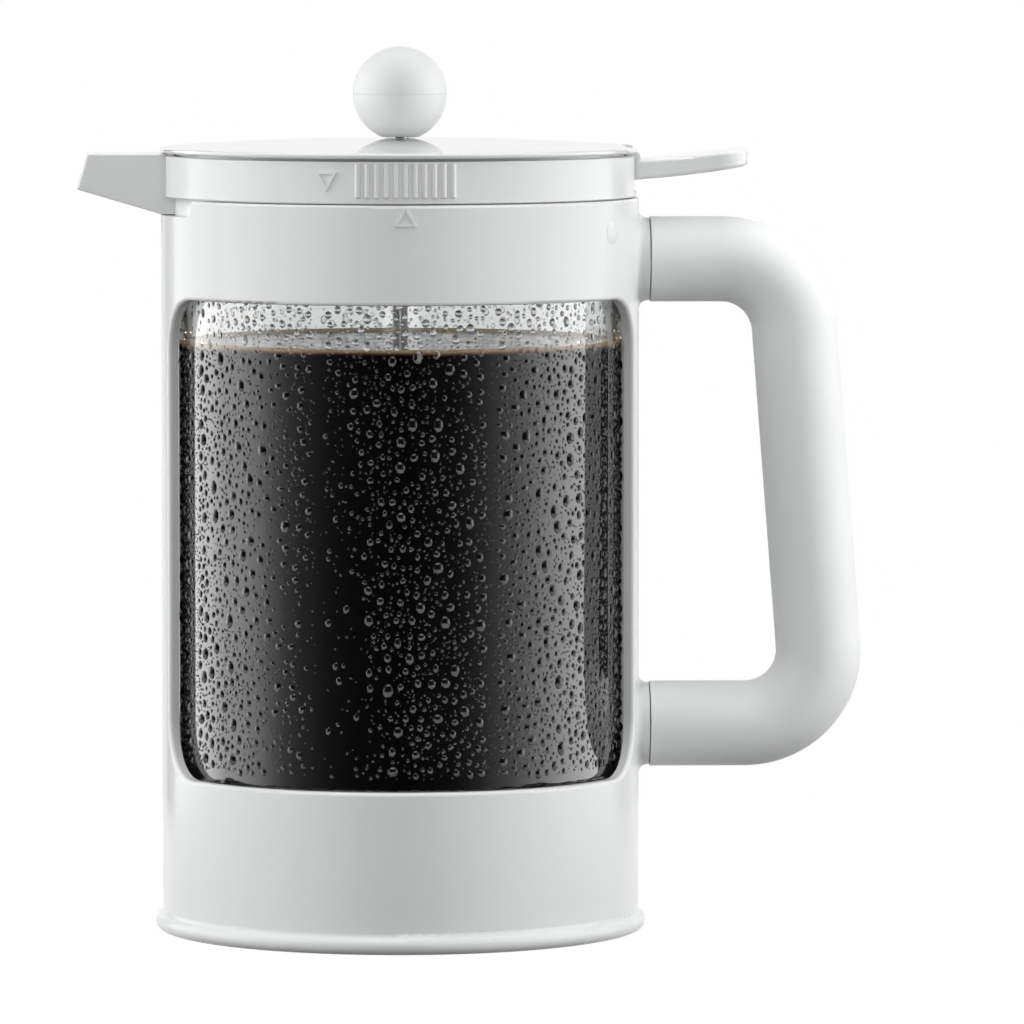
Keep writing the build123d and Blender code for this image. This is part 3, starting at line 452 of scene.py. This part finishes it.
def coffee_top():
    """The coffee's surface: dark, with a tan ring where it meets the glass, and a painted glow on that ring
    that stands in for light through the thin edge.
    """
    made, g = material("coffee_top")
    spot = g.place()
    x, y, _ = g.node("ShaderNodeSeparateXYZ", inputs={"Vector": spot}).outputs
    radius = g.math("POWER", g.total(g.math("POWER", x, 2.0), g.math("POWER", y, 2.0)), 0.5)
    edge = g.ramp(radius, GLASS_R - 0.006, GLASS_R - 0.0022)
    film = g.noise(spot, scale=120.0, detail=3.0, roughness=0.6, distortion=0.6)
    return principled(made, g, {
        "Base Color": g.mix(edge, (0.012, 0.008, 0.004, 1.0), (0.42, 0.34, 0.23, 1.0)),
        "Roughness": g.ramp(film, 0.35, 0.7, 0.10, 0.20), "IOR": 1.333,
        # Emission: painted glow on the edge ring, standing in for light through the thin coffee there.
        "Emission Color": g.mix(edge, grey(0.0), (0.42, 0.36, 0.25, 1.0)), "Emission Strength": 0.36,
        "Normal": g.bump(film, strength=0.03, distance=0.0004)})


# ---------------------------------------------------------------- meshes
def add_object(name, mesh, body):
    made = bpy.data.objects.new(name, mesh)
    scene.collection.objects.link(made)
    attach(made, body)
    return made


def shade_smooth(mesh):
    mesh.polygons.foreach_set("use_smooth", [True] * len(mesh.polygons))


def face_outwards(mesh):
    bm = bmesh.new()
    bm.from_mesh(mesh)
    bmesh.ops.recalc_face_normals(bm, faces=bm.faces)
    bm.to_mesh(mesh)
    bm.free()


def coffee_outline():
    """The drink's (radius, height) outline from its bottom's middle, and how many points touch the glass."""
    overlap, corner, climb, meniscus = 0.0003, 0.004, 0.0008, 0.0032
    wet = GLASS_R - GLASS_WALL + overlap
    bottom = glass_low.z + GLASS_FLOOR - overlap
    outline = [(0.0, bottom)]
    for i in range(9):
        a = math.pi / 2 * i / 8
        outline.append((wet - corner + corner * math.sin(a), bottom + corner - corner * math.cos(a)))
    outline += [(wet, z) for z in np.linspace(bottom + 0.02, COFFEE_TOP - 0.002, 8)]
    outline += [(wet, COFFEE_TOP + climb)]
    glass_points = len(outline)
    for i in range(1, 8):
        outline.append((wet - meniscus * i / 7, COFFEE_TOP + climb * math.exp(-3.2 * i / 7)))
    outline += [(r, COFFEE_TOP) for r in (0.045, 0.03, 0.015, 0.0)]
    return outline, glass_points


def make_coffee():
    """The drink: it wets the glass, and its edge climbs a little."""
    outline, glass_points = coffee_outline()
    steps = 160
    bm = bmesh.new()
    rings = []
    for r, z in outline:
        turns = np.linspace(0, 2 * math.pi, steps, endpoint=False) if r > 0.0 else [0.0]
        rings.append([bm.verts.new((r * math.cos(t), r * math.sin(t), z)) for t in turns])
    for k, (a, b) in enumerate(zip(rings, rings[1:])):
        for i in range(steps):
            j = (i + 1) % steps
            corners = [a[0]] if len(a) == 1 else [a[i], a[j]]
            corners += [b[0]] if len(b) == 1 else [b[j], b[i]]
            face = bm.faces.new(corners)
            face.material_index = 0 if k < glass_points - 1 else 1
    bmesh.ops.recalc_face_normals(bm, faces=bm.faces)
    mesh = bpy.data.meshes.new("coffee")
    bm.to_mesh(mesh)
    bm.free()
    mesh.materials.append(coffee_side())
    mesh.materials.append(coffee_top())
    shade_smooth(mesh)
    add_object("coffee", mesh, "beaker")


def scatter_drops(seed):
    """Drops on one side of the glass: (degrees, height, radius, stretch), none overlapping."""
    rng = np.random.default_rng(seed)
    sizes = np.concatenate([rng.uniform(low, high, count) for low, high, count in DROP_SIZES])
    grid, kept = {}, []
    for size in sizes:
        for _ in range(DROP_TRIES):
            turn = rng.uniform(-EDGE_TURN, EDGE_TURN)
            height = rng.uniform(SILL + 0.003, WINDOW_TOP + 0.002)
            stretch = 1.0 + rng.uniform(0.0, 0.35 if size > LONG_FROM else 0.12)
            arc = math.radians(turn) * GLASS_R
            if rng.uniform() > gathering(turn, arc, height, seed):
                continue
            above = height > COFFEE_TOP
            if above and (size > LARGEST_ABOVE or (size < FINE_ABOVE and rng.uniform() > FINE_SHARE)):
                continue
            if size > RIB_SHY_FROM and near_rib(turn, size):
                continue
            if crowded(grid, arc, height, size * stretch):
                continue
            grid.setdefault(grid_cell(arc, height), []).append((arc, height, size * stretch))
            kept.append((turn, height, size, stretch))
            break
    return kept


def grid_cell(arc, height):
    """The column and row of the grid that keeps the search for near drops short."""
    return int(arc // GRID_CELL), int(height // GRID_CELL)


def crowded(grid, arc, height, reach):
    """Whether a drop of this reach would come too near to one that is placed."""
    column, row = grid_cell(arc, height)
    cells = [(column + dx, row + dz) for dx in (-1, 0, 1) for dz in (-1, 0, 1)]
    near = [other for cell in cells for other in grid.get(cell, ())]
    return any(math.hypot(a - arc, h - height) < (r + reach) * DROP_SPACING for a, h, r in near)


def gathering(turn, arc, height, seed):
    """Share of the drops that stay at a place: thick at the sides, sparse left of the middle."""
    sides_from, patchy_to = 60, 58
    bare_from, bare_to, bare_below = -28, -10, 0.095        # low, left of the middle
    if height > COFFEE_TOP:
        return 0.6 if seed == FRONT_SEED and abs(turn) <= sides_from else 0.12
    share = np.interp(turn, [t for t, _ in GATHERING], [v for _, v in GATHERING])
    if bare_from < turn < bare_to and height < bare_below:
        share *= 0.4
    return share * (patchiness(arc, height, seed) if abs(turn) < patchy_to else 1.0)


def patchiness(arc, height, seed):
    """Soft vertical runs and bare tracks."""
    a, h = arc * 1000, height * 1000
    value = math.sin(a * 0.21 + 1.3 * math.sin(h * 0.031 + seed))
    value += 0.8 * math.sin(a * 0.083 + h * 0.027 + seed)
    value += 0.6 * math.sin(h * 0.11 + 0.7 * math.sin(a * 0.13))
    return 0.30 + 0.70 / (1 + math.exp(-1.6 * value))


def near_rib(turn, size):
    """Whether a drop would touch one of the frame's ribs."""
    rib_half = 0.0011
    room = math.degrees((size + rib_half) / GLASS_R)
    return any(abs(turn - rib) < room for rib in RIB_TURNS)


def drop_mesh(name, drops, facing, segments, rings):
    """Closed caps of water. Over the coffee their backs take its colour; above it they are clear."""
    contacts = (46, 60)     # least and most angle between water and glass, in degrees
    uneven, sag, tip_sag = 0.06, 0.12, 0.04
    verts, faces, backs = [], [], []
    rng = np.random.default_rng(len(drops))
    for turn, height, size, stretch in drops:
        azimuth = math.radians(facing + turn)
        out = np.array([math.cos(azimuth), math.sin(azimuth), 0.0])
        side = np.array([-math.sin(azimuth), math.cos(azimuth), 0.0])
        over_coffee = height + size < COFFEE_TOP
        foot = GLASS_R + (FILM_GAP if over_coffee else -DROP_SINK)
        base = len(verts)
        contact = math.radians(rng.uniform(*contacts))
        phase = rng.uniform(0, 2 * math.pi)
        for k in range(rings):
            lean = contact * (1 - k / rings)
            reach = math.sin(lean) / math.sin(contact)
            lift = size * (math.cos(lean) - math.cos(contact)) / math.sin(contact)
            for i in range(segments):
                t = 2 * math.pi * i / segments
                wobble = 1 + uneven * math.sin(2 * t + phase)
                across = size * reach * math.cos(t) * wobble
                up = size * reach * math.sin(t) * wobble * stretch - sag * (stretch - 1) * lift
                bend = across / GLASS_R
                point = (out * math.cos(bend) + side * math.sin(bend)) * (foot + lift)
                verts.append((point[0], point[1], height + up))
        top = out * (foot + size * math.tan(contact / 2))
        verts.append((top[0], top[1], height - tip_sag * size))
        for k in range(rings - 1):
            for i in range(segments):
                j = (i + 1) % segments
                a, b = base + k * segments, base + (k + 1) * segments
                faces.append((a + i, a + j, b + j, b + i))
        last, tip = base + (rings - 1) * segments, base + rings * segments
        for i in range(segments):
            faces.append((last + i, last + (i + 1) % segments, tip))
        if over_coffee:
            backs.append(len(faces))
        faces.append(tuple(base + i for i in reversed(range(segments))))
    mesh = bpy.data.meshes.new(name)
    mesh.from_pydata(verts, [], faces)
    mesh.update()
    for i in backs:
        mesh.polygons[i].material_index = 1
    mesh.polygons.foreach_set("use_smooth", [len(f) < segments for f in faces])
    return mesh


def make_drops(back):
    """Drops on both windows; smaller ones have fewer faces."""
    wet = water("drop_water", coat=1.0)
    for facing, side in WINDOWS:
        drops = scatter_drops(FRONT_SEED if side == "front" else BACK_SEED)
        for kind, smallest, limit, segments, rings in DROP_GROUPS:
            name = f"drops_{kind}_{side}"
            chosen = [drop for drop in drops if smallest <= drop[2] < limit]
            mesh = drop_mesh(name, chosen, facing, segments, rings)
            mesh.materials.append(wet)
            mesh.materials.append(back)
            add_object(name, mesh, "beaker")


def sill_water_size(turn, facing, from_end):
    """Height and width of the water: it swells and ebbs, beads up at two places and thins at its ends,
    from_end being the steps to the nearer one."""
    taper_steps = 6
    swell = 0.5 + 0.5 * math.sin(turn * 0.9 + 1.7 * math.sin(turn * 0.37) + facing)
    beads = math.exp(-((turn + 51) / 3.5) ** 2) + 0.5 * math.exp(-((turn - 37) / 5.0) ** 2)
    taper = min(1.0, from_end / taper_steps)
    high = (0.00035 + 0.00030 * swell + 0.0010 * beads) * (0.15 + 0.85 * taper)
    wide = (0.0007 + 0.0003 * swell + 0.0003 * beads) * (0.3 + 0.7 * taper)
    return high, wide


def make_sill_water(back):
    """Water that stands along both sills between the ribs, against the glass."""
    wet = water("sill_water", coat=0.0)
    section = ((0.0, 0.0), (0.0, 1.0), (0.35, 0.92), (0.7, 0.62), (0.93, 0.28), (1.0, 0.0))
    steps_per_degree = 4
    count = len(section)
    for facing, side in WINDOWS:
        verts, faces, backs = [], [], []
        for start, end in SILL_RUNS:
            steps = int((end - start) * steps_per_degree)
            base = len(verts)
            for i in range(steps + 1):
                turn = start + (end - start) * i / steps
                high, wide = sill_water_size(turn, facing, min(i, steps - i))
                a = math.radians(facing + turn)
                for r, z in section:
                    radius = GLASS_R + FILM_GAP + wide * r
                    verts.append((radius * math.cos(a), radius * math.sin(a), SILL + high * z))
            for i in range(steps):
                backs.append(len(faces))
                for k in range(count):
                    m, n = base + count * i + k, base + count * i + (k + 1) % count
                    faces.append((m, m + count, n + count, n))
            faces.append(tuple(base + k for k in range(count)))
            faces.append(tuple(base + count * steps + k for k in reversed(range(count))))
        mesh = bpy.data.meshes.new(f"sill_water_{side}")
        mesh.from_pydata(verts, [], faces)
        face_outwards(mesh)
        for i in backs:
            mesh.polygons[i].material_index = 1
        mesh.polygons.foreach_set("use_smooth", [len(f.vertices) == 4 and f.material_index == 0
                                                 for f in mesh.polygons])
        mesh.materials.append(wet)
        mesh.materials.append(back)
        add_object(f"sill_water_{side}", mesh, "frame")


def wire_mesh(name, spine, wire, section, closed):
    """A round wire along a spine of (point, first, second): a place and its section's two directions."""
    verts, faces = [], []
    for point, first, second in spine:
        for k in range(section):
            c = 2 * math.pi * k / section
            verts.append(tuple(point + first * (wire * math.cos(c)) + second * (wire * math.sin(c))))
    rings = len(spine)
    for i in range(rings if closed else rings - 1):
        a, b = i * section, (i + 1) % rings * section
        for k in range(section):
            n = (k + 1) % section
            faces.append((a + k, a + n, b + n, b + k))
    if not closed:
        last = (rings - 1) * section
        faces.append(tuple(range(section)))
        faces.append(tuple(last + k for k in reversed(range(section))))
    mesh = bpy.data.meshes.new(name)
    mesh.from_pydata(verts, [], faces)
    face_outwards(mesh)
    shade_smooth(mesh)
    return mesh


def make_coil(metal):
    """The fine coil spring that runs round the filter's edge."""
    low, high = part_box("edge_coil")
    wire, turns, around = 0.00028, 170, 14
    half = (high.z - low.z) / 2
    reach = half - wire
    centre_r, centre_z = high.x - half, (low.z + high.z) / 2
    up = Vector((0, 0, 1))
    spine = []
    for i in range(turns * around):
        a = 2 * math.pi * i / (turns * around)
        t = 2 * math.pi * i / around
        out = Vector((math.cos(a), math.sin(a), 0.0))
        point = out * (centre_r + reach * math.cos(t)) + up * (centre_z + reach * math.sin(t))
        along = Vector((-math.sin(a), math.cos(a), 0.0)) * (centre_r / turns)
        along += (up * math.cos(t) - out * math.sin(t)) * reach
        first = (out * math.cos(t) + up * math.sin(t)).normalized()
        spine.append((point, first, along.cross(first).normalized()))
    mesh = wire_mesh("edge_coil_wire", spine, wire, section=6, closed=True)
    mesh.materials.append(metal)
    coil = add_object("edge_coil_wire", mesh, "filter")
    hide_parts("edge_coil")


def make_press_spring(metal):
    """The lever's return spring, closed at both ends, at one fixed length: it does not press flatter with
    the lever.
    """
    low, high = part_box("lever_spring")
    wire, around, room = 0.00035, 28, 0.00005
    pitches = (0.00074, 0.0014, 0.0019, 0.0019, 0.0014, 0.00074)    # before they are scaled to fit
    scale = (high.z - low.z - 2 * wire - 2 * room) / sum(pitches)
    radius = (high.x - low.x) / 2 - wire
    middle = (low + high) / 2
    z = low.z + wire + room
    spine = []
    for i in range(len(pitches) * around + 1):
        a = 2 * math.pi * i / around
        climb = scale * pitches[min(i // around, len(pitches) - 1)]
        out = Vector((math.cos(a), math.sin(a), 0.0))
        along = Vector((-math.sin(a) * radius, math.cos(a) * radius, climb / (2 * math.pi))).normalized()
        spine.append((Vector((middle.x, middle.y, z)) + out * radius, out, along.cross(out)))
        z += climb / around
    mesh = wire_mesh("press_spring", spine, wire, section=10, closed=False)
    mesh.materials.append(metal)
    spring = add_object("press_spring", mesh, "lid")
    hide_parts("lever_spring")
    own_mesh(spring)


def assign(table):
    """Give each CAD node its material."""
    for name, made in table.items():
        mesh = nodes[name].data
        if not mesh.materials:
            mesh.materials.append(made)
        for slot in nodes[name].material_slots:
            slot.material = made


def dress():
    # The white parts are one plastic. The knob's and the cover's lower tones are painted shade, and the
    # grip's higher tone is painted light.
    shell = gloss_plastic("frame_white", (0.79, 0.80, 0.80, 1.0), 0.18, shine=0.25)
    ring = gloss_plastic("ring_white", (0.80, 0.81, 0.81, 1.0), 0.18)
    cover = gloss_plastic("cover_white", (0.78, 0.79, 0.79, 1.0), 0.015, 0.01, coat=1.0)
    lever = gloss_plastic("lever_white", (0.87, 0.88, 0.88, 1.0))
    knob = gloss_plastic("knob_white", (0.70, 0.71, 0.71, 1.0), 0.42)
    grip = satin_plastic("satin_white", (0.89, 0.90, 0.90, 1.0))
    core = satin_plastic("core_plastic", (0.70, 0.71, 0.71, 1.0))
    turned = steel("turned_steel", (0.03, 0.03, 1.0))
    drawn = steel("drawn_steel", (1.0, 1.0, 0.03), 0.66, 0.06)
    brushed = steel("brushed_steel", (1.0, 0.04, 1.0), 0.6)
    assign({
        "frame_shell": shell, "bayonet_pins": shell, "lid_body": ring, "lid_cover": cover,
        "pour_lever": lever, "rod_guide": ring, "knob": knob, "handle_grip": grip,
        "handle_core": core, "handle_screws": turned, "lever_axle": turned, "lever_spring": turned,
        "knob_insert": turned, "plunger_rod": drawn, "cross_plate": brushed,
        "spring_plate": brushed, "edge_coil": turned, "filter_collar": turned,
        "filter_mesh": woven_steel(), "lid_seal": silicone(), "port_stopper": silicone(),
        "beaker": clear_glass(),
    })
    make_coil(turned)
    make_press_spring(turned)


make_camera()
make_world()
make_floor()
dress()
make_coffee()
dark_back = coffee_behind()
make_drops(dark_back)
make_sill_water(dark_back)
scene.view_settings.view_transform = "Standard"
